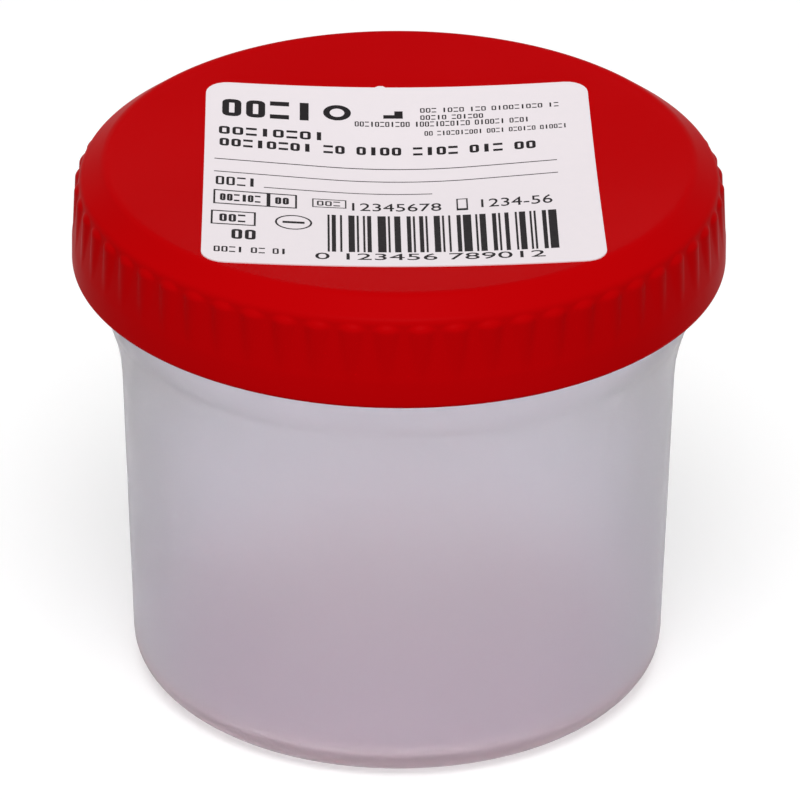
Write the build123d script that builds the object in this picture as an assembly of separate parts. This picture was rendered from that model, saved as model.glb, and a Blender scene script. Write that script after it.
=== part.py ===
"""Screw-cap specimen container: a moulded beaker, its ribbed screw cap and the paper label on the lid.

Millimetres, +Z up. The origin is the centre of the foot, on the surface that the container stands on.
Beaker and cap are turned from half sections, written as (radius, height) points. The screw threads
are not modelled here: the gap between the neck and the cap's bore is the room that they need.
"""
import os
from math import atan2, degrees, hypot

from build123d import *

# ---- beaker: a drafted wall that flares into a straight neck ----
FOOT_CORNER_R = 3.4            # rounded edge between base and wall
WALL_BASE_R = 28.98            # outer radius, as the drafted wall would reach the ground
FLARE = (29.93, 38.8)          # where the wall's line turns outwards
FLARE_BLEND_R = 23.0
NECK_R = 31.8                  # outer radius of the neck, the root of its thread
NECK_Z = 43.95                 # where the flare's line meets the neck
NECK_BLEND_R = 6.0
RIM_Z = 58.2                   # the sealing rim
RIM_EDGE_R = 0.3
WALL = 1.1
FLOOR = 1.3
FOOT_RING_W = 2.2              # flat ring that the container stands on
FOOT_RECESS = 0.6              # the base stands this far above the ring
RECESS_EDGE_R = 0.5

# ---- screw cap: skirt, sloping edge, sunk top ----
CAP_BOTTOM_Z = 48.3
SKIRT_R = 35.0                 # greatest radius, at the lower edge
SKIRT_EDGE_R = 0.5
BAND_TOP = (34.93, 51.2)       # a plain band runs round below the ribs
LID_FOOT = (34.03, 57.93)      # the drafted skirt meets the sloping edge of the lid
LID_FOOT_BLEND_R = 1.1
CREST = (31.37, 59.9)          # the slope meets the sunk top
CREST_BLEND_R = 1.3
DISH_CENTRE_Z = 57.4           # the top sinks to here, a very flat cone with a rounded middle
DISH_MIDDLE_R = 8.1
PANEL = 1.2                    # thickness of the sunk top
BORE_R = 33.2                  # inside of the skirt, the root of its thread
BORE_TOP_Z = 57.18
BORE_LEAD_IN = 0.5
SEAT_R = 31.9                  # outer radius of the flat seat that comes down on the rim
PLUG_R = 30.5                  # sealing ring that hangs inside the mouth
PLUG_WALL = 1.0
PLUG_LENGTH = 3.0
PLUG_TAPER = 0.25
PLUG_EDGE_R = 0.3

# ---- grip ribs: leaning half rounds that run out above the band ----
RIB_COUNT = 60
RIB_PHASE = 3.85               # degrees from +X to the first rib
RIB_TOP = (34.63, 56.2)        # crest of a rib at its upper end
RIB_LOW_R = 34.86              # the same crest line at the top of the band, just under its surface
RIB_ROUND_R = 1.78
RIB_END_SLOPE = (0.43, 0.3)    # the upper end runs back to the skirt: inwards, up

# ---- label: paper stuck to the sunk top ----
LABEL_SIZE = (42.0, 43.2)
LABEL_CORNER_R = 2.5
LABEL_PAPER = 0.12
LABEL_CENTRE = (0.27, -2.68)
LABEL_TURN = 0.77              # degrees out of square, as it was stuck on


def turned(section):
    """Spin a half section, drawn in the XZ plane, about the vertical axis."""
    return revolve(Plane.XZ * section, Axis.Z)


def rounded(section, corner, radius):
    """Round the corner of a half section that lies nearest to a point."""
    nearest = min(section.vertices(), key=lambda v: hypot(v.X - corner[0], v.Y - corner[1]))
    return fillet(nearest, radius)


def closed(*curves):
    """Close a run of curves, from the axis and back to it, into a half section."""
    run = Curve() + list(curves)
    ends = Line(run @ 1, run @ 0)
    return make_face(run + ends)


def beaker_section(depth, bottom_z, corner_r):
    """Everything inside the beaker's wall at a depth below its outer surface, from bottom_z to the rim."""
    neck = (NECK_R - depth, NECK_Z)
    flare = (FLARE[0] - depth, FLARE[1])
    foot = (WALL_BASE_R - depth, bottom_z)
    section = make_face(Polyline((0, bottom_z), foot, flare, neck, (neck[0], RIM_Z), (0, RIM_Z), close=True))
    section = rounded(section, foot, corner_r)
    section = rounded(section, flare, FLARE_BLEND_R + depth)
    return rounded(section, neck, NECK_BLEND_R - depth)


def container():
    outside = turned(beaker_section(0, 0, FOOT_CORNER_R))
    inside = turned(beaker_section(WALL, FOOT_RECESS + FLOOR, FOOT_CORNER_R - WALL))
    beaker = outside - inside
    beaker = fillet(beaker.edges().group_by(Axis.Z)[-1], RIM_EDGE_R)

    ring_inner_r = WALL_BASE_R - FOOT_CORNER_R - FOOT_RING_W
    recess = Pos(0, 0, FOOT_RECESS / 2) * Cylinder(ring_inner_r, FOOT_RECESS)
    beaker -= recess
    recess_edge = beaker.edges().filter_by(GeomType.CIRCLE).group_by(Axis.Z)[0].sort_by(SortBy.RADIUS)[0]
    return fillet(recess_edge, RECESS_EDGE_R)


def dish_z(radius):
    """Height of the sunk top: an arc near the axis, then a straight slope up to the crest."""
    slope = (CREST[1] - DISH_CENTRE_Z) / (CREST[0] - DISH_MIDDLE_R / 2)
    if radius < DISH_MIDDLE_R:
        return DISH_CENTRE_Z + slope * radius**2 / (2 * DISH_MIDDLE_R)
    return DISH_CENTRE_Z + slope * (radius - DISH_MIDDLE_R / 2)


def dish_curve(lift, outer_r):
    """The sunk top from the axis to a radius, raised by lift."""
    start, halfway, join, end = ((r, dish_z(r) + lift) for r in (0, DISH_MIDDLE_R / 2, DISH_MIDDLE_R, outer_r))
    return ThreePointArc(start, halfway, join) + Line(join, end)


def cap_body():
    """The cap's outer form with nothing hollowed out."""
    edge = Polyline(CREST, LID_FOOT, BAND_TOP, (SKIRT_R, CAP_BOTTOM_Z), (0, CAP_BOTTOM_Z))
    section = closed(dish_curve(0, CREST[0]), edge)
    section = rounded(section, CREST, CREST_BLEND_R)
    section = rounded(section, LID_FOOT, LID_FOOT_BLEND_R)
    return turned(rounded(section, (SKIRT_R, CAP_BOTTOM_Z), SKIRT_EDGE_R))


def cap_hollow():
    """The room inside the cap: under the sunk top, round the sealing ring and down the bore."""
    plug_inner_r = PLUG_R - PLUG_WALL
    plug_root = (plug_inner_r, dish_z(plug_inner_r) - PANEL)
    plug_tip_z = RIM_Z - PLUG_LENGTH
    tip_inner = (plug_inner_r, plug_tip_z)
    tip_outer = (PLUG_R - PLUG_TAPER, plug_tip_z)
    lead_in = (BORE_R + BORE_LEAD_IN, CAP_BOTTOM_Z)
    side = Polyline(plug_root, tip_inner, tip_outer, (PLUG_R, RIM_Z), (SEAT_R, RIM_Z), (BORE_R, BORE_TOP_Z),
                    (BORE_R, CAP_BOTTOM_Z + BORE_LEAD_IN), lead_in, (0, CAP_BOTTOM_Z))
    section = closed(dish_curve(-PANEL, plug_inner_r), side)
    section = rounded(section, tip_inner, PLUG_EDGE_R)
    return turned(rounded(section, tip_outer, PLUG_EDGE_R))


def grip_ribs():
    """Sixty leaning rods round the skirt; they show only where they stand out of it."""
    lean = degrees(atan2(RIB_LOW_R - RIB_TOP[0], RIB_TOP[1] - BAND_TOP[1]))
    rod = Rot(0, -lean, 0) * Cylinder(RIB_ROUND_R, 3 * (RIB_TOP[1] - BAND_TOP[1]))
    rod = Pos(RIB_TOP[0] - RIB_ROUND_R, 0, RIB_TOP[1]) * rod

    inner_r = BORE_R - RIB_ROUND_R
    run, rise = RIB_END_SLOPE
    end_z = RIB_TOP[1] + (RIB_TOP[0] - inner_r) * rise / run
    length = Polyline((inner_r, BAND_TOP[1]), BAND_TOP, RIB_TOP, (inner_r, end_z), close=True)
    rib = rod & extrude(Plane.XZ * make_face(length), RIB_ROUND_R, both=True)
    return [Rot(0, 0, RIB_PHASE + turn * 360 / RIB_COUNT) * rib for turn in range(RIB_COUNT)]


def screw_cap():
    return cap_body() + grip_ribs() - cap_hollow()


def label():
    """The label lies in the dish and follows it, so it is cut from a thin turned shell of paper."""
    lower = dish_curve(0, CREST[0])
    upper = dish_curve(LABEL_PAPER, CREST[0])
    paper = turned(make_face(lower + Line(lower @ 1, upper @ 1) + upper + Line(upper @ 0, lower @ 0)))
    outline = Rot(0, 0, LABEL_TURN) * RectangleRounded(*LABEL_SIZE, LABEL_CORNER_R)
    return paper & extrude(Pos(*LABEL_CENTRE) * outline, 2 * CREST[1])


os.makedirs("parts", exist_ok=True)
export_step(container(), "parts/container.step")
export_step(screw_cap(), "parts/screw_cap.step")
export_step(label(), "parts/label.step")
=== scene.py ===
# %% [markdown]
# # A screw-cap specimen container
#
# The object is a frosted plastic beaker, a red screw cap with a ribbed grip, and a paper label stuck to
# the sunk top of the cap. All three are turned or flat forms, so the lesson is about drawing a good half
# section, spinning it, and adding the few details that aren't round: grip ribs, threads and print.
#
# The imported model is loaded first. It gives the sizes that everything below is built around, and each new
# piece stands for one of its nodes. Nothing is selected when a new piece is started, because an operator
# acts on all that is selected.

# %% Load the frame and read its sizes
from math import atan2, ceil, cos, pi, radians, sin, sqrt, tan

import bmesh
import bpy
from mathutils import Matrix, Vector


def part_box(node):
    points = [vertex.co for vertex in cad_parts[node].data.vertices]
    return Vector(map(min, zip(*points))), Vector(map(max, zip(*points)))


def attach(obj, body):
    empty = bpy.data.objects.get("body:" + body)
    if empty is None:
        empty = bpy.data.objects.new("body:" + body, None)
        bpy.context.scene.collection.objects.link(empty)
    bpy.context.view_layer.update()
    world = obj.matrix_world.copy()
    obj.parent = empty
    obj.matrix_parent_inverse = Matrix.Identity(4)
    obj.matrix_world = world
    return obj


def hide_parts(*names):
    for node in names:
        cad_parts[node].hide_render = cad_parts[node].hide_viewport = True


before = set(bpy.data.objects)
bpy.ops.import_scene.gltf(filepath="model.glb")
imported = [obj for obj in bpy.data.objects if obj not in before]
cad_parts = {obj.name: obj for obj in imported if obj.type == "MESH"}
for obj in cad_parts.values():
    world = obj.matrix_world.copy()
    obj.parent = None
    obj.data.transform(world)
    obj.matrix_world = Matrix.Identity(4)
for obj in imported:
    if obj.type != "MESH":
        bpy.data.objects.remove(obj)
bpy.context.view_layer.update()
MM = 0.001

beaker_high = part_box("container")[1] / MM
cap_low, cap_high = (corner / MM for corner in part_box("screw_cap"))
RIM_Z = beaker_high.z
NECK_R = beaker_high.x
SKIRT_R = cap_high.x
CAP_BOTTOM_Z = cap_low.z
print(f"beaker rim at {RIM_Z:.1f} mm, neck radius {NECK_R:.1f} mm")
print(f"cap radius {SKIRT_R:.1f} mm, lower edge at {CAP_BOTTOM_Z:.1f} mm")

# %% [markdown]
# ## Drawing half sections
#
# A moulded part has hardly a sharp corner on it. So an outline is written as its corners, each with the
# rounding that the mould gives it, and one helper puts the arcs in. A short step before and after each arc
# holds the straight walls straight when the surface is shaded smooth.
#
# Curves or hand-placed points would do as well, but then a change of one radius means moving many points.

# %% Corners to a rounded outline
ARC_STEP = radians(9)
HOLD = 0.12


def rounded(corners):
    """Points of an outline from its corners, each (radius, height) or (radius, height, rounding) in mm."""
    points = []
    for index, corner in enumerate(corners):
        here = Vector(corner[:2])
        if len(corner) == 2:
            points.append(here)
            continue
        into = (here - Vector(corners[index - 1][:2])).normalized()
        out = (Vector(corners[index + 1][:2]) - here).normalized()
        turn = atan2(into.cross(out), into.dot(out))
        side = Vector((-into.y, into.x)) * (1 if turn > 0 else -1)
        reach = corner[2] * tan(abs(turn) / 2)
        centre = here - into * reach + side * corner[2]
        steps = ceil(abs(turn) / ARC_STEP)
        points.append(here - into * (reach + HOLD))
        for step in range(steps + 1):
            points.append(centre - Matrix.Rotation(turn * step / steps, 2) @ side * corner[2])
        points.append(here + out * (reach + HOLD))
    return points


# %% [markdown]
# ## Spinning a half section
#
# A turned form can be made with the Screw modifier or with the Spin operator. Spin is used here because it
# can also stop after a few degrees, which the ribbed cap needs. The outline is drawn as a hand would draw
# it: one vertex is pulled from point to point. The ends lie on the axis, where all copies meet and are
# merged, so that the form is closed.

# %% A vertex pulled along an outline and spun round the axis
MERGE = 0.002 * MM


def start_nothing_selected():
    bpy.ops.object.select_all(action="DESELECT")


def turned(name, outline, steps, angle=2 * pi):
    """Spin an outline of (radius, height) points, in mm, about the vertical axis."""
    start_nothing_selected()
    bpy.ops.mesh.primitive_plane_add(size=MM, location=(outline[0].x * MM, 0, outline[0].y * MM))
    piece = bpy.context.object
    piece.name = name
    bpy.ops.object.mode_set(mode="EDIT")
    bpy.ops.mesh.merge(type="CENTER")
    for here, there in zip(outline, outline[1:]):
        pull = ((there.x - here.x) * MM, 0, (there.y - here.y) * MM)
        bpy.ops.mesh.extrude_vertices_move(TRANSFORM_OT_translate={"value": pull})
    bpy.ops.mesh.select_all(action="SELECT")
    bpy.ops.mesh.spin(steps=steps, angle=angle, center=(0, 0, 0), axis=(0, 0, 1))
    weld()
    bpy.ops.object.mode_set(mode="OBJECT")
    bpy.ops.object.transform_apply()
    return piece


def weld():
    """In edit mode: merge what coincides and turn every face outwards."""
    bpy.ops.mesh.select_all(action="SELECT")
    bpy.ops.mesh.remove_doubles(threshold=MERGE)
    bpy.ops.mesh.normals_make_consistent(inside=False)


def report(piece):
    """Print a piece's faces, its open edges and the volume that it encloses."""
    shape = bmesh.new()
    shape.from_mesh(piece.data)
    open_edges = sum(not edge.is_manifold for edge in shape.edges)
    volume = shape.calc_volume(signed=True) / MM**3
    print(f"{piece.name}: {len(shape.faces)} faces, {open_edges} open edges, {volume:.0f} mm3")
    shape.free()


# %% [markdown]
# ## The beaker
#
# The beaker is injection moulded in one piece. Its wall leans out by a degree or so, to leave the mould,
# then flares into a straight neck that carries the thread. It stands on a flat ring, and the middle of the
# base is raised a little so that it can't rock. A small scar in the middle shows where the plastic came in.
#
# The section is drawn from the axis on the underside, up the outside, over the rim and down the inside.

# %% Beaker: section and spin
WALL = 1.1
FLOOR_TOP_Z = 1.9
FOOT_CORNER_R = 3.4
FOOT_R = 28.98
FLARE_R = 29.93
FLARE_Z = 38.8
NECK_Z = 43.95
FLARE_BLEND_R = 23.0
NECK_BLEND_R = 6.0
RIM_EDGE_R = 0.3
RECESS_R = 23.38
RECESS_Z = 0.6
RECESS_EDGE_R = 0.5
GATE_R = 1.3
GATE_Z = 0.25
GATE_EDGE_R = 0.15
GATE_SLOPE_W = 0.3
GATE_BLEND_R = 0.3
BEAKER_STEPS = 192

beaker_outline = rounded([
    (0, GATE_Z),
    (GATE_R, GATE_Z, GATE_EDGE_R),
    (GATE_R + GATE_SLOPE_W, RECESS_Z, GATE_BLEND_R),
    (RECESS_R, RECESS_Z),
    (RECESS_R, 0, RECESS_EDGE_R),
    (FOOT_R, 0, FOOT_CORNER_R),
    (FLARE_R, FLARE_Z, FLARE_BLEND_R),
    (NECK_R, NECK_Z, NECK_BLEND_R),
    (NECK_R, RIM_Z, RIM_EDGE_R),
    (NECK_R - WALL, RIM_Z, RIM_EDGE_R),
    (NECK_R - WALL, NECK_Z, NECK_BLEND_R - WALL),
    (FLARE_R - WALL, FLARE_Z, FLARE_BLEND_R + WALL),
    (FOOT_R - WALL, FLOOR_TOP_Z, FOOT_CORNER_R - WALL),
    (0, FLOOR_TOP_Z),
])
beaker = turned("beaker", beaker_outline, BEAKER_STEPS)
report(beaker)

# %% [markdown]
# ## The threads
#
# Neck and cap share one coarse thread: a single ridge with sloping sides that climbs one and three quarter
# turns. A small four-sided face is pulled round the neck step by step, turned and lifted each time. It
# starts and ends small, so both ends of the ridge sink into the wall as they do in a mould. The ridge in
# the cap lies half a pitch above the one on the neck.
#
# A Screw modifier would also make the helix, but not the sinking ends.

# %% A ridge that climbs round a wall, and its union with that wall
PITCH = 3.5
THREAD_TURNS = 1.75
THREAD_STEPS = 112
THREAD_FADE = 8
THREAD_TIP = 0.1
THREAD_ROOT_W = 2.1
THREAD_CREST_W = 0.8
SUNK = 0.3


def ridge(name, wall_r, height, start_z):
    """A thread ridge on a wall of radius wall_r. A height below zero stands towards the axis."""
    outwards = 1 if height > 0 else -1
    depth = abs(height) + SUNK
    root_r = wall_r - outwards * SUNK
    middle_r = root_r + outwards * depth / 2
    start = Vector((middle_r, 0, start_z)) * MM
    start_nothing_selected()
    bpy.ops.mesh.primitive_plane_add(size=MM, location=start, rotation=(pi / 2, 0, 0))
    piece = bpy.context.object
    piece.name = name
    bpy.ops.object.transform_apply()
    bpy.ops.object.mode_set(mode="EDIT")
    bpy.ops.transform.resize(value=(depth, 1, THREAD_ROOT_W), center_override=start)
    pick(piece, "VERT", lambda place: outwards * (place.x / MM - middle_r) > 0)
    bpy.ops.transform.resize(value=(1, 1, THREAD_CREST_W / THREAD_ROOT_W), center_override=start)
    bpy.ops.mesh.select_all(action="SELECT")
    turn = 2 * pi * THREAD_TURNS / THREAD_STEPS
    lift = PITCH * THREAD_TURNS / THREAD_STEPS
    size = 1
    for step in range(THREAD_STEPS + 1):
        from_end = min(step, THREAD_STEPS - step) / THREAD_FADE
        wanted = THREAD_TIP + (1 - THREAD_TIP) * sin(min(from_end, 1) * pi / 2)
        root = Matrix.Rotation(turn * step, 3, "Z") @ Vector((root_r, 0, start_z + lift * step)) * MM
        bpy.ops.transform.resize(value=[wanted / size] * 3, center_override=root)
        size = wanted
        if step < THREAD_STEPS:
            bpy.ops.mesh.extrude_region_move()
            bpy.ops.transform.rotate(value=-turn, orient_axis="Z", center_override=(0, 0, 0))
            bpy.ops.transform.translate(value=(0, 0, lift * MM))
    weld()
    bpy.ops.object.mode_set(mode="OBJECT")
    return piece


def pick(piece, kind, test):
    """In edit mode: select the vertices, edges or faces whose middle passes a test, and nothing else."""
    bpy.ops.mesh.select_all(action="DESELECT")
    bpy.ops.mesh.select_mode(type=kind)
    shape = bmesh.from_edit_mesh(piece.data)
    parts = {"VERT": shape.verts, "EDGE": shape.edges, "FACE": shape.faces}[kind]
    for part in parts:
        corners = [part.co] if kind == "VERT" else [vertex.co for vertex in part.verts]
        if test(sum(corners, Vector()) / len(corners)):
            part.select_set(True)
    shape.select_flush_mode()
    bmesh.update_edit_mesh(piece.data)


def fuse(piece, addition):
    """Add one closed form to another as a single skin."""
    start_nothing_selected()
    bpy.context.view_layer.objects.active = piece
    union = piece.modifiers.new("union", "BOOLEAN")
    union.operation = "UNION"
    union.solver = "EXACT"
    union.object = addition
    bpy.ops.object.modifier_apply(modifier=union.name)
    bpy.data.objects.remove(addition)


# %% Beaker: thread on the neck
THREAD_H = 1.1
THREAD_START_Z = 49.6

fuse(beaker, ridge("neck thread", NECK_R, THREAD_H, THREAD_START_Z))
report(beaker)

# %% [markdown]
# ## The screw cap
#
# The cap is one red moulding: a skirt that leans in slightly, a sloping edge, and a top that sinks like a
# very flat cone. Underneath hangs a short ring that plugs the beaker's mouth. Sixty grip ribs stand out of
# the skirt above a plain band.
#
# What repeats sixty times is modelled once. The half section is spun through one sixtieth of a turn, the
# rib is pulled out of that slice, and the slice is copied round. The section has extra points down the
# skirt, closest together at the ribs' upper ends, where the form changes fastest.

# %% Cap: section of one slice
CREST_R = 31.37
CREST_Z = 59.9
CREST_BLEND_R = 1.3
DISH_CENTRE_Z = 57.4
DISH_MIDDLE_R = 8.1
DISH_SLOPE = (CREST_Z - DISH_CENTRE_Z) / (CREST_R - DISH_MIDDLE_R / 2)
PANEL = 1.2
EDGE_R = 34.03
EDGE_Z = 57.93
EDGE_BLEND_R = 1.1
BAND_R = 34.93
BAND_Z = 51.2
SKIRT_EDGE_R = 0.5
BORE_R = 33.2
BORE_TOP_Z = 57.18
LEAD_IN = 0.5
SEAT_R = 31.9
PLUG_R = 30.5
PLUG_WALL = 1.0
PLUG_TIP_Z = 55.2
PLUG_TAPER = 0.25
PLUG_EDGE_R = 0.3
RIB_COUNT = 60
SLICE = 2 * pi / RIB_COUNT
SLICE_STEPS = 12
RIB_ROWS = (57.25, 57.1, 56.95, 56.8, 56.6, 56.3, 55.9, 55.3, 54.6, 53.8, 53.0, 52.4, 52.0, 51.6)


def dish_z(radius):
    """Height of the sunk top: rounded near the axis, then a straight slope up to the crest."""
    if radius < DISH_MIDDLE_R:
        return DISH_CENTRE_Z + DISH_SLOPE * radius**2 / (2 * DISH_MIDDLE_R)
    return DISH_CENTRE_Z + DISH_SLOPE * (radius - DISH_MIDDLE_R / 2)


def skirt_r(height):
    """Radius of the plain skirt between the sloping edge and the band."""
    return BAND_R + (EDGE_R - BAND_R) * (height - BAND_Z) / (EDGE_Z - BAND_Z)


dish_radii = (0, 2, 4, 6, DISH_MIDDLE_R, 12, 18, 24)
top = [(radius, dish_z(radius)) for radius in dish_radii]
underside = [(radius, dish_z(radius) - PANEL) for radius in reversed(dish_radii)]
plug_inner_r = PLUG_R - PLUG_WALL
cap_outline = rounded(
    top
    + [(CREST_R, CREST_Z, CREST_BLEND_R), (EDGE_R, EDGE_Z, EDGE_BLEND_R)]
    + [(skirt_r(height), height) for height in RIB_ROWS]
    + [
        (BAND_R, BAND_Z),
        (SKIRT_R, CAP_BOTTOM_Z, SKIRT_EDGE_R),
        (BORE_R + LEAD_IN, CAP_BOTTOM_Z),
        (BORE_R, CAP_BOTTOM_Z + LEAD_IN),
        (BORE_R, BORE_TOP_Z),
        (SEAT_R, RIM_Z),
        (PLUG_R, RIM_Z),
        (PLUG_R - PLUG_TAPER, PLUG_TIP_Z, PLUG_EDGE_R),
        (plug_inner_r, PLUG_TIP_Z, PLUG_EDGE_R),
        (plug_inner_r, dish_z(plug_inner_r) - PANEL),
    ]
    + underside
)
cap = turned("cap", cap_outline, SLICE_STEPS, SLICE)
print(f"cap slice: {len(cap.data.polygons)} faces")

# %% [markdown]
# ## Pulling out the rib
#
# A rib is a flat round that leans back a little less than the skirt does. So it stands out most near its
# upper end, where it curves back into the sloping edge, and it runs out into the skirt above the band. Row
# by row, the slice's vertices are scaled away from the axis to the rib's surface wherever that lies further
# out than the skirt, and where the two meet they are blended, as a cutter with a rounded tip leaves them.
#
# Sixty separate bars joined by a Boolean would leave hard seams and long thin faces.

# %% Cap: one rib, then sixty
RIB_ROUND_R = 2.4
RIB_TOP_R = 34.6
RIB_TOP_Z = 56.7
RIB_LOW_R = 34.88
RIB_END_CURVE = 0.7
RIB_BLEND = 0.05
RIB_PHASE = radians(3.85)
RIBBED_R = EDGE_R - 0.5
RIBBED_LOW_Z = BAND_Z + 0.1
RIBBED_HIGH_Z = EDGE_Z + 0.4
NEAR = 0.01


def rib_r(plain, height, off_middle):
    """Radius with a rib on it, where it is plain without, at an angle away from the rib's middle."""
    crest = RIB_TOP_R + (RIB_LOW_R - RIB_TOP_R) * (RIB_TOP_Z - height) / (RIB_TOP_Z - BAND_Z)
    if height > RIB_TOP_Z:
        crest = RIB_TOP_R - RIB_END_CURVE * (height - RIB_TOP_Z) ** 2
    sideways = plain * sin(off_middle)
    rib = crest - RIB_ROUND_R + sqrt(RIB_ROUND_R**2 - sideways**2)
    return (plain + rib + sqrt((plain - rib) ** 2 + RIB_BLEND**2)) / 2


def at(plain, height, off_middle):
    """A test for the slice's vertices on both sides of its middle at one point of the section."""
    def test(place):
        off = abs(atan2(place.y, place.x) + SLICE / 2)
        gap = Vector((place.xy.length / MM - plain, place.z / MM - height))
        return gap.length < NEAR and abs(off - off_middle) < SLICE / SLICE_STEPS / 8
    return test


bpy.ops.object.mode_set(mode="EDIT")
for plain, height in cap_outline:
    if plain < RIBBED_R or not RIBBED_LOW_Z < height < RIBBED_HIGH_Z:
        continue
    for step in range(SLICE_STEPS // 2):
        off_middle = SLICE * step / SLICE_STEPS
        pull = rib_r(plain, height, off_middle) / plain
        pick(cap, "VERT", at(plain, height, off_middle))
        bpy.ops.transform.resize(value=(pull, pull, 1), center_override=(0, 0, height * MM))
bpy.ops.mesh.select_all(action="SELECT")
bpy.ops.transform.rotate(value=-RIB_PHASE - SLICE / 2, orient_axis="Z", center_override=(0, 0, 0))
turn_of_copies = 2 * pi - SLICE
bpy.ops.mesh.spin(steps=RIB_COUNT - 1, dupli=True, angle=turn_of_copies, center=(0, 0, 0), axis=(0, 0, 1))
weld()
bpy.ops.object.mode_set(mode="OBJECT")
report(cap)

# %% Cap: thread in the bore
fuse(cap, ridge("bore thread", BORE_R, -THREAD_H, THREAD_START_Z + PITCH / 2))
report(cap)

# %% [markdown]
# ## The label
#
# The label is die-cut paper with rounded corners, stuck flat onto the sunk top, so it takes up the cone's
# shape. A plane is cut into a grid, because a single face can't bend. Shrinkwrap then drops it straight
# down onto the lid, and Solidify gives the paper its thickness. Paper laid on a cone has to give somewhere,
# so the far right corner is drawn in a little. A tiny tab on the far edge is where it hung on to its roll.

# %% Label: outline, grid and drop
LABEL_W = 42.0
LABEL_H = 43.2
LABEL_CORNER_R = 2.5
LABEL_DRAWN_IN = 0.6
LABEL_PAPER = 0.12
LABEL_CENTRE = (0.27, -2.68)
LABEL_TURN = radians(0.77)
TAB_U = (-2.7, -2.3, -1.8, -1.4)
TAB_OUT = 0.3
GRID = 1.5
ABOVE_LID = 70.0


def cut_grid(piece, width, height):
    """In edit mode: cut flat faces along a square grid, so that they can bend."""
    for across in range(-int(width / 2 / GRID), int(width / 2 / GRID) + 1):
        bpy.ops.mesh.select_all(action="SELECT")
        bpy.ops.mesh.bisect(plane_co=(across * GRID * MM, 0, 0), plane_no=(1, 0, 0))
    for along in range(-int(height / 2 / GRID), int(height / 2 / GRID) + 1):
        bpy.ops.mesh.select_all(action="SELECT")
        bpy.ops.mesh.bisect(plane_co=(0, along * GRID * MM, 0), plane_no=(0, 1, 0))


def drop_on(piece, target, gap, thickness):
    """Turn and place a flat piece as the label lies, drop it onto a surface and give it a thickness."""
    bpy.ops.object.mode_set(mode="EDIT")
    bpy.ops.mesh.select_all(action="SELECT")
    bpy.ops.transform.rotate(value=-LABEL_TURN, orient_axis="Z", center_override=(0, 0, 0))
    bpy.ops.transform.translate(value=(LABEL_CENTRE[0] * MM, LABEL_CENTRE[1] * MM, ABOVE_LID * MM))
    bpy.ops.object.mode_set(mode="OBJECT")
    drop = piece.modifiers.new("drop", "SHRINKWRAP")
    drop.wrap_method = "PROJECT"
    drop.use_project_z = True
    drop.use_positive_direction = False
    drop.use_negative_direction = True
    drop.offset = gap * MM
    drop.target = target
    bpy.ops.object.modifier_apply(modifier=drop.name)
    solid = piece.modifiers.new("thickness", "SOLIDIFY")
    solid.thickness = thickness * MM
    solid.offset = 1
    bpy.ops.object.modifier_apply(modifier=solid.name)


start_nothing_selected()
bpy.ops.mesh.primitive_plane_add(size=MM)
label = bpy.context.object
label.name = "label_sheet"
bpy.ops.object.mode_set(mode="EDIT")
bpy.ops.transform.resize(value=(LABEL_W, LABEL_H, 1))
pick(label, "VERT", lambda place: place.x > 0 and place.y > 0)
bpy.ops.transform.translate(value=(-LABEL_DRAWN_IN * MM, 0, 0))
bpy.ops.mesh.select_all(action="SELECT")
bpy.ops.mesh.bevel(offset=LABEL_CORNER_R * MM, segments=6, affect="VERTICES")
cut_grid(label, LABEL_W, LABEL_H)
for along in TAB_U:
    bpy.ops.mesh.select_all(action="SELECT")
    bpy.ops.mesh.bisect(plane_co=(along * MM, 0, 0), plane_no=(1, 0, 0))


def on_tab(place):
    u, v = place.x / MM, place.y / MM
    return TAB_U[1] - NEAR < u < TAB_U[2] + NEAR and v > LABEL_H / 2 - NEAR


pick(label, "VERT", on_tab)
bpy.ops.transform.translate(value=(0, TAB_OUT * MM, 0))
bpy.ops.object.mode_set(mode="OBJECT")
drop_on(label, cap, 0, LABEL_PAPER)
report(label)

# %% [markdown]
# ## The print
#
# A label of this kind has a heading, two ruled lines to write on, small boxes, a number or two and a field
# of stripes. Here the words are only placeholder marks the size of letters, the numbers are plain counting
# digits and the stripes follow a simple rule, so the label has the right grey and layout and says nothing.
#
# All marks are flat shapes in one piece. Each is a plane, placed on the label's own axes: u to the right
# and v away from the reader, in millimetres from the label's middle.

# %% Print: a mark, an open box, a ring, a line of placeholders
PEN = 0.2
LETTER_W = 0.8
WORD_GAP = 0.8
BAR_IN = 0.25
BAR_W = 1.3
DASH_H = 1.2


def mark(low_u, low_v, high_u, high_v, rounding=0):
    """In edit mode: add a solid rectangle, its corners rounded or not. It is left selected."""
    middle = ((low_u + high_u) / 2 * MM, (low_v + high_v) / 2 * MM, 0)
    bpy.ops.mesh.select_all(action="DESELECT")
    bpy.ops.mesh.primitive_plane_add(size=MM, location=middle)
    bpy.ops.transform.resize(value=(high_u - low_u, high_v - low_v, 1), center_override=middle)
    if rounding:
        bpy.ops.mesh.bevel(offset=rounding * MM, segments=3, affect="VERTICES")


def box(low_u, low_v, high_u, high_v, pen=PEN, rounding=0):
    """In edit mode: add a rectangle drawn with a pen, empty inside."""
    mark(low_u, low_v, high_u, high_v, rounding)
    bpy.ops.mesh.select_mode(type="FACE")
    bpy.ops.mesh.inset(thickness=pen * MM)
    bpy.ops.mesh.delete(type="FACE")
    bpy.ops.mesh.select_mode(type="VERT")


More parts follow.
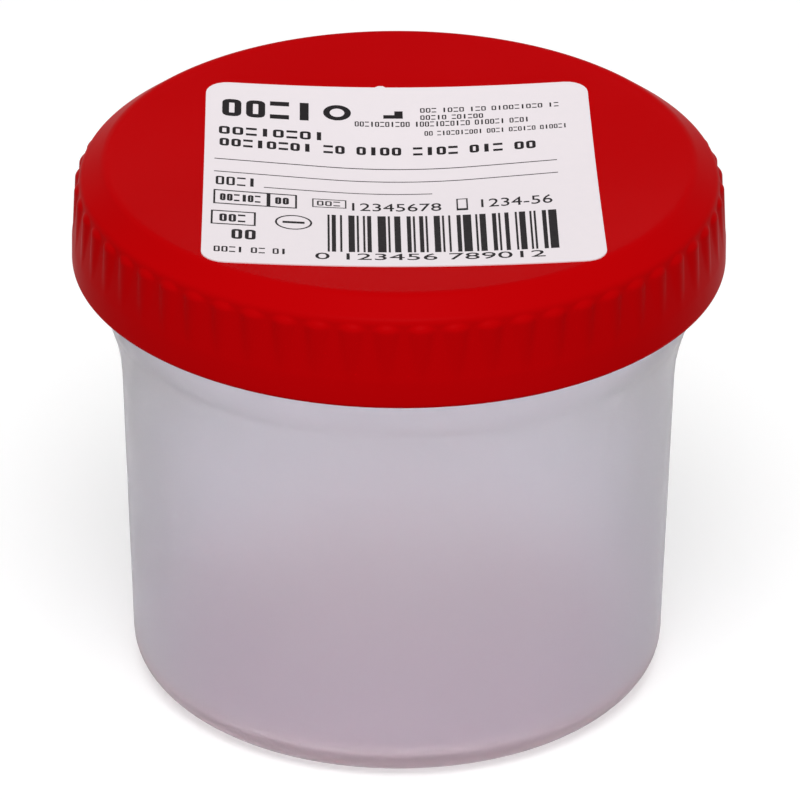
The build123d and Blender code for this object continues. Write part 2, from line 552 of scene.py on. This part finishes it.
def ring(middle_u, middle_v, across, up, pen=PEN):
    """In edit mode: add an oval drawn with a pen."""
    middle = (middle_u * MM, middle_v * MM, 0)
    bpy.ops.mesh.select_all(action="DESELECT")
    bpy.ops.mesh.primitive_circle_add(vertices=32, radius=MM / 2, fill_type="NGON", location=middle)
    bpy.ops.transform.resize(value=(across, up, 1), center_override=middle)
    bpy.ops.mesh.select_mode(type="FACE")
    bpy.ops.mesh.inset(thickness=pen * MM)
    bpy.ops.mesh.delete(type="FACE")
    bpy.ops.mesh.select_mode(type="VERT")


def placeholder(low_u, low_v, high_u, high_v, words=(5,), weight=0.3):
    """In edit mode: fill a line of print with letter-sized marks, in groups of the given lengths.

    The marks take turns at being an open box, a narrow bar and two dashes, one above the other.
    """
    letters = sum(words) + WORD_GAP * (len(words) - 1)
    step = (high_u - low_u) / letters
    pen = weight * min(high_v - low_v, 2 * LETTER_W * step) / 2
    left = low_u
    turn = 0
    for word in words:
        for _ in range(word):
            turn += 1
            right = left + step * LETTER_W
            bar = left + step * BAR_IN
            if turn % 4 == 0:
                mark(bar, low_v, bar + BAR_W * pen, high_v)
            elif turn % 3 == 0:
                mark(left, low_v, right, low_v + DASH_H * pen)
                mark(left, high_v - DASH_H * pen, right, high_v)
            else:
                box(left, low_v, right, high_v, pen, pen)
            left += step
        left += WORD_GAP * step


# %% Print: heading, placeholder lines, rules, boxes and stripes
RULE = 0.14

start_nothing_selected()
bpy.ops.mesh.primitive_plane_add(size=MM)
ink = bpy.context.object
ink.name = "label_print"
bpy.ops.object.mode_set(mode="EDIT")
bpy.ops.mesh.delete(type="VERT")

placeholder(-19.2, 14.2, -8.9, 17.9, words=(4,), weight=0.4)
ring(-6.8, 16.1, 3.0, 3.2, pen=0.7)
mark(-1.8, 15.1, 0.3, 15.8)
mark(-0.6, 15.8, 0.3, 16.6)
placeholder(2.2, 16.3, 17.3, 17.2, words=(3, 4, 3, 9, 2))
placeholder(2.2, 14.8, 9.1, 15.7, words=(5, 6))
placeholder(-4.9, 13.4, 14.0, 14.4, words=(11, 11, 6, 4))
placeholder(2.6, 11.5, 18.0, 12.4, words=(2, 10, 4, 6, 6))
placeholder(-19.5, 10.1, -7.9, 11.8, words=(8,), weight=0.42)
placeholder(-19.4, 7.4, 14.7, 9.1, words=(8, 2, 4, 4, 3, 2), weight=0.42)
mark(-19.9, 4.2, 16.6, 4.2 + RULE)
mark(-19.9, 1.2, 16.6, 1.2 + RULE)
mark(-14.6, -1.9, 3.2, -1.9 + RULE)
placeholder(-19.7, -1.9, -15.2, 0.1, words=(4,))
box(-19.9, -6.7, -14.1, -3.2)
box(-14.1, -6.7, -11.1, -3.2)
placeholder(-19.2, -5.8, -14.8, -4.1, words=(6,), weight=0.45)
placeholder(-13.4, -5.8, -11.8, -4.1, words=(2,), weight=0.45)
box(-9.5, -6.0, -5.9, -3.8, pen=0.14)
placeholder(-9.0, -5.5, -6.4, -4.3, words=(3,))
box(5.7, -6.6, 6.9, -3.5, pen=0.16)
mark(5.7, -6.6, 6.9, -6.1)
box(-20.1, -11.9, -15.4, -8.4)
placeholder(-19.2, -11.1, -16.3, -9.2, words=(3,), weight=0.4)
ring(-11.45, -10.4, 3.9, 3.8)
mark(-12.6, -10.65, -10.3, -10.15)
placeholder(-17.9, -15.5, -15.1, -13.0, words=(2,), weight=0.36)
placeholder(-19.7, -19.0, -12.0, -17.6, words=(4, 2, 2))

# %% Print: the field of stripes
STRIPES_FROM = -7.9
STRIPES_TO = 16.1
STRIPES_LOW = -17.9
STRIPES_HIGH = -7.9
STRIPES = 30
BAR_WIDTHS = (1, 2, 1, 3, 1, 1, 2, 4, 1, 3, 2)
GAP_WIDTHS = (1, 2, 3, 1, 2, 1, 3)

bars = [BAR_WIDTHS[index % len(BAR_WIDTHS)] for index in range(STRIPES)]
gaps = [GAP_WIDTHS[index % len(GAP_WIDTHS)] for index in range(STRIPES - 1)] + [0]
unit = (STRIPES_TO - STRIPES_FROM) / (sum(bars) + sum(gaps))
left = STRIPES_FROM
for bar, gap in zip(bars, gaps):
    mark(left, STRIPES_LOW, left + bar * unit, STRIPES_HIGH)
    left += (bar + gap) * unit
bpy.ops.object.mode_set(mode="OBJECT")
print(f"print: {STRIPES} stripes in units of {unit:.2f} mm, {len(ink.data.polygons)} faces")

# %% [markdown]
# ## Digits
#
# Digits have curves that are slow to draw from marks, so they come from the built-in typeface. A text
# object is turned into a mesh first, and then stretched to the field that it fills. Then all print is one
# piece, is cut into the same grid as the paper, and is dropped onto it.

# %% Print: counting digits
INK_UNDER = 0.01
INK_THICK = 0.03


def digits(text, low_u, low_v, high_u, high_v):
    """Digits as a flat mesh that fills a field of the label."""
    start_nothing_selected()
    bpy.ops.object.text_add(location=(0, 0, 0))
    line = bpy.context.object
    line.data.body = text
    line.data.resolution_u = 3
    bpy.ops.object.convert(target="MESH")
    places = [vertex.co for vertex in line.data.vertices]
    low = Vector((min(place.x for place in places), min(place.y for place in places), 0))
    high = Vector((max(place.x for place in places), max(place.y for place in places), 0))
    across = (high_u - low_u) * MM / (high.x - low.x)
    up = (high_v - low_v) * MM / (high.y - low.y)
    line.scale = (across, up, 1)
    line.location = (low_u * MM - low.x * across, low_v * MM - low.y * up, 0)
    bpy.ops.object.transform_apply()
    return line


lines = [
    digits("12345678", -5.3, -6.5, 4.1, -4.4),
    digits("1234-56", 8.3, -6.1, 15.8, -4.0),
    digits("0 123456 789012", -9.2, -20.0, 14.6, -18.3),
]
start_nothing_selected()
for line in lines:
    line.select_set(True)
ink.select_set(True)
bpy.context.view_layer.objects.active = ink
bpy.ops.object.join()
bpy.ops.object.mode_set(mode="EDIT")
cut_grid(ink, LABEL_W, LABEL_H)
bpy.ops.object.mode_set(mode="OBJECT")
drop_on(ink, label, -INK_UNDER, INK_THICK)
report(ink)

# %% [markdown]
# ## Smooth shading
#
# Flat shading would show the facets of every wall, and smooth shading all over would smear the crisp edges.
# So it goes by angle: walls are smooth, and edges that turn by more than thirty degrees stay crisp.

# %% Shade the pieces
CRISP = radians(30)

for piece in (beaker, cap, label):
    start_nothing_selected()
    piece.select_set(True)
    bpy.context.view_layer.objects.active = piece
    bpy.ops.object.shade_smooth_by_angle(angle=CRISP)
print("shaded smooth: beaker, cap, label_sheet")

# %% [markdown]
# ## Frosted polypropylene
#
# The beaker is unpigmented polypropylene. It lets light through but scatters it, so what is behind it
# blurs to a soft lilac grey. Three things make that look here. A rough transmission blurs, a share of
# subsurface scattering gives the milkiness, and a thin absorption in the volume dims the wall where it is
# seen edge on. The wall keeps its real thickness for all three. Noise on Object coordinates varies the haze.
# A ramp up the height paints light into the colour. It gives a painted pink glow on the base for the red
# light that comes through the lid, and a painted paler wall towards the rim that lifts the shade under the
# cap.
#
# A mix with a transparent shader would be quicker, but it shows the far side sharp instead of blurred.

# %% Material helpers, then the beaker's plastic


def plastic(name, colour):
    """A new material with its Principled shader, and the node tree to add to."""
    material = bpy.data.materials.new(name)
    material.use_nodes = True
    shader = material.node_tree.nodes["Principled BSDF"]
    shader.inputs["Base Color"].default_value = (*colour, 1)
    material.diffuse_color = (*colour, 1)
    return material, material.node_tree, shader


def noise(tree, scale, detail=2.0):
    """Noise on the piece's own coordinates. A scale of 1000 gives grains of about a millimetre."""
    place = tree.nodes.new("ShaderNodeTexCoord")
    grain = tree.nodes.new("ShaderNodeTexNoise")
    grain.inputs["Scale"].default_value = scale
    grain.inputs["Detail"].default_value = detail
    tree.links.new(place.outputs["Object"], grain.inputs["Vector"])
    return grain


NOISE_LOW = 0.3
NOISE_HIGH = 0.7


def spread(tree, source, low, high, target):
    """Send a noise, which hardly leaves its middle range, to a socket, running from low to high."""
    scale = tree.nodes.new("ShaderNodeMapRange")
    scale.inputs["From Min"].default_value = NOISE_LOW
    scale.inputs["From Max"].default_value = NOISE_HIGH
    scale.inputs["To Min"].default_value = low
    scale.inputs["To Max"].default_value = high
    tree.links.new(source.outputs["Fac"], scale.inputs["Value"])
    tree.links.new(scale.outputs["Result"], target)


def tint(tree, source, one, other, target):
    """Send a noise to a colour socket, so that it runs between two close colours."""
    blend = tree.nodes.new("ShaderNodeMix")
    blend.data_type = "RGBA"
    blend.inputs["A"].default_value = (*one, 1)
    blend.inputs["B"].default_value = (*other, 1)
    tree.links.new(source.outputs["Fac"], blend.inputs["Factor"])
    tree.links.new(blend.outputs["Result"], target)


def emboss(tree, source, shader, depth, strength):
    """Let a noise stand out of the surface by a depth in millimetres."""
    bump = tree.nodes.new("ShaderNodeBump")
    bump.inputs["Distance"].default_value = depth * MM
    bump.inputs["Strength"].default_value = strength
    tree.links.new(source.outputs["Fac"], bump.inputs["Height"])
    tree.links.new(bump.outputs["Normal"], shader.inputs["Normal"])


# Painted light: the low stop is a pink glow for red light through the lid, the high stop is paler to lift
# the shade under the cap. The middle stop is the plastic's own colour.
TINTS_AND_PAINTED_LIGHT = ((1.0, (0.885, 0.70, 0.76)), (5.0, (0.878, 0.846, 0.93)), (44.0, (0.955, 0.948, 1.0)))

frosted, tree, shader = plastic("frosted_polypropylene", TINTS_AND_PAINTED_LIGHT[1][1])
shader.inputs["Transmission Weight"].default_value = 0.82
shader.inputs["Subsurface Weight"].default_value = 1.0
shader.inputs["Subsurface Radius"].default_value = (1, 1, 1)
shader.inputs["Subsurface Scale"].default_value = 8 * MM
shader.inputs["IOR"].default_value = 1.4
spread(tree, noise(tree, 60), 0.38, 0.42, shader.inputs["Roughness"])
emboss(tree, noise(tree, 900), shader, 0.01, 0.2)

place = tree.nodes.new("ShaderNodeTexCoord")
split = tree.nodes.new("ShaderNodeSeparateXYZ")
tree.links.new(place.outputs["Object"], split.inputs[0])
up = tree.nodes.new("ShaderNodeMapRange")
up.inputs["From Max"].default_value = RIM_Z * MM
tree.links.new(split.outputs["Z"], up.inputs["Value"])
# This ramp paints light into the wall's colour by height: pink at the base, paler under the cap.
tint_and_painted_light_ramp = tree.nodes.new("ShaderNodeValToRGB")
tint_and_painted_light_ramp.color_ramp.interpolation = "EASE"
tint_and_painted_light_ramp.color_ramp.elements.new(TINTS_AND_PAINTED_LIGHT[1][0] / RIM_Z)
for stop, (height, colour) in zip(tint_and_painted_light_ramp.color_ramp.elements, TINTS_AND_PAINTED_LIGHT):
    stop.position = height / RIM_Z
    stop.color = (*colour, 1)
tree.links.new(up.outputs["Result"], tint_and_painted_light_ramp.inputs["Fac"])
tree.links.new(tint_and_painted_light_ramp.outputs["Color"], shader.inputs["Base Color"])

haze = tree.nodes.new("ShaderNodeVolumeAbsorption")
haze.inputs["Color"].default_value = (0.72, 0.76, 0.96, 1)
haze.inputs["Density"].default_value = 10
tree.links.new(haze.outputs["Volume"], tree.nodes["Material Output"].inputs["Volume"])
beaker.data.materials.append(frosted)
print("material:", frosted.name)

# %% [markdown]
# ## Red plastic
#
# The cap is mass-coloured polyethylene from a lightly blasted mould, so its gloss is low and broad. The
# surface noise is much finer than on the beaker, and a slow noise moves the red and the gloss slightly, as
# the flow of the melt does.
#
# One flat red with one gloss would look like paint. The noises cost little and hold up from close by.

# %% Cap: red plastic
red, tree, shader = plastic("red_polyethylene", (0.47, 0.001, 0.002))
shader.inputs["Specular IOR Level"].default_value = 0.006
flow = noise(tree, 45)
spread(tree, flow, 0.36, 0.44, shader.inputs["Roughness"])
tint(tree, flow, (0.49, 0.0006, 0.002), (0.45, 0.0002, 0.001), shader.inputs["Base Color"])
emboss(tree, noise(tree, 2600), shader, 0.01, 0.35)
cap.data.materials.append(red)
print("material:", red.name)

# %% [markdown]
# ## Paper and ink
#
# The label paper is coated and nearly white, with the faint cloudiness of its fibres. The ink is almost
# black and a little uneven, because a label printer lays it down as heat melts it.
#
# A picture of a label could carry both. Real ink on real paper stays sharp at any distance, and each of the
# two keeps a gloss of its own.

# %% Label: paper and ink
paper, tree, shader = plastic("coated_paper", (0.83, 0.77, 0.80))
shader.inputs["Roughness"].default_value = 0.62
shader.inputs["Specular IOR Level"].default_value = 0.25
fibre = noise(tree, 700, 5.0)
tint(tree, fibre, (0.85, 0.78, 0.81), (0.82, 0.76, 0.79), shader.inputs["Base Color"])
emboss(tree, noise(tree, 2200, 4.0), shader, 0.01, 0.25)
label.data.materials.append(paper)

black, tree, shader = plastic("label_ink", (0.01, 0.008, 0.009))
shader.inputs["Specular IOR Level"].default_value = 0.05
wax = noise(tree, 2500)
spread(tree, wax, 0.45, 0.6, shader.inputs["Roughness"])
tint(tree, wax, (0.006, 0.005, 0.006), (0.018, 0.014, 0.016), shader.inputs["Base Color"])
ink.data.materials.append(black)
print("materials:", paper.name, black.name)

# %% [markdown]
# ## Floor and background
#
# A white floor and a white world. What the camera, a reflection or the hazy plastic sees of the world is
# plain white, while the light that it gives is kept lower. The floor is matt and glows a little towards the
# same rays, so it stays near white and still takes the shadow. It lies a hair under the foot, because two
# surfaces in the same plane flicker.

# %% Floor and world
FLOOR_SIZE = 8.0
FLOOR_WHITE = 0.57
FLOOR_GLOW = 0.5
FLOOR_GLOW_BEHIND = 0.65
SKY_LIGHT = 0.43
UNDER_FOOT = 0.05


def reckon(tree, operation, first, second):
    """A Math node of two inputs, each another node's output or a number."""
    node = tree.nodes.new("ShaderNodeMath")
    node.operation = operation
    for socket, value in zip(node.inputs, (first, second)):
        if isinstance(value, (int, float)):
            socket.default_value = value
        else:
            tree.links.new(value, socket)
    return node.outputs[0]


def seen_rays(tree, by_camera, by_surfaces):
    """One value for camera rays, one for glossy and transmission rays, and 0 for those that carry light."""
    path = tree.nodes.new("ShaderNodeLightPath")
    surfaces = reckon(tree, "MAXIMUM", path.outputs["Is Glossy Ray"], path.outputs["Is Transmission Ray"])
    direct = reckon(tree, "MULTIPLY", path.outputs["Is Camera Ray"], by_camera)
    return reckon(tree, "MAXIMUM", reckon(tree, "MULTIPLY", surfaces, by_surfaces), direct)


start_nothing_selected()
bpy.ops.mesh.primitive_plane_add(size=FLOOR_SIZE, location=(0, 0, -UNDER_FOOT * MM))
floor = bpy.context.object
floor.name = "floor"
floor_white, tree, shader = plastic("floor_white", (FLOOR_WHITE, FLOOR_WHITE, FLOOR_WHITE))
shader.inputs["Roughness"].default_value = 1.0
shader.inputs["Specular IOR Level"].default_value = 0.0
shader.inputs["Emission Color"].default_value = (1, 1, 1, 1)
tree.links.new(seen_rays(tree, FLOOR_GLOW, FLOOR_GLOW_BEHIND), shader.inputs["Emission Strength"])
floor.data.materials.append(floor_white)

world = bpy.data.worlds.new("white studio")
bpy.context.scene.world = world
world.use_nodes = True
tree = world.node_tree
sky = tree.nodes["Background"]
sky.inputs["Color"].default_value = (1, 1, 1, 1)
level = tree.nodes.new("ShaderNodeMapRange")
level.inputs["To Min"].default_value = SKY_LIGHT
level.inputs["To Max"].default_value = 1.0
tree.links.new(seen_rays(tree, 1, 1), level.inputs["Value"])
tree.links.new(level.outputs["Result"], sky.inputs["Strength"])
print("floor and world are white")

# %% [markdown]
# ## Lamp
#
# One large soft lamp stands in front, high up, and the white world fills in from all round. A small lamp
# would draw a hard shadow and a sharp highlight on the cap, which a catalogue picture avoids.

# %% Lamp
LAMP_AT = Vector((0, -0.725, 1.286))
LAMP_AIM = Vector((0, 0, 0.03))
LAMP_ACROSS = 0.8
LAMP_POWER = 14.4

start_nothing_selected()
bpy.ops.object.light_add(type="AREA", location=LAMP_AT)
lamp = bpy.context.object
lamp.name = "front lamp"
lamp.data.shape = "DISK"
lamp.data.size = LAMP_ACROSS
lamp.data.energy = LAMP_POWER
lamp.rotation_euler = (LAMP_AIM - LAMP_AT).to_track_quat("-Z", "Y").to_euler()
print("lamp:", lamp.name)

# %% [markdown]
# ## Camera
#
# A long lens about seventy centimetres away, looking down by nearly thirty degrees, as for a catalogue
# picture: it shows the label and the whole wall, and the sides stay close to parallel.

# %% Camera
CAMERA_AT = (-0.0007, -0.61577, 0.36557)
CAMERA_DOWN = radians(28.557)
CAMERA_ASIDE = radians(0.083)
CAMERA_ROLL = radians(0.262)
LENS = 290.95
SENSOR = 36
CLIP_FROM = 0.05

start_nothing_selected()
bpy.ops.object.camera_add()
camera = bpy.context.object
camera.data.lens = LENS
camera.data.sensor_width = SENSOR
camera.data.clip_start = CLIP_FROM
aside = Matrix.Rotation(-CAMERA_ASIDE, 4, "Z")
down = Matrix.Rotation(pi / 2 - CAMERA_DOWN, 4, "X")
roll = Matrix.Rotation(CAMERA_ROLL, 4, "Z")
camera.matrix_world = Matrix.Translation(CAMERA_AT) @ aside @ down @ roll
bpy.context.scene.camera = camera
bpy.context.scene.view_settings.view_transform = "Standard"
print("camera lens", round(camera.data.lens, 1))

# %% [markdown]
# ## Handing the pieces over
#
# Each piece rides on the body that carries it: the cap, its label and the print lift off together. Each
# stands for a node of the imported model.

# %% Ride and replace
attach(beaker, "beaker")
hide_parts("container")
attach(cap, "cap")
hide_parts("screw_cap")
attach(label, "cap")
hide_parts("label")
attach(ink, "cap")
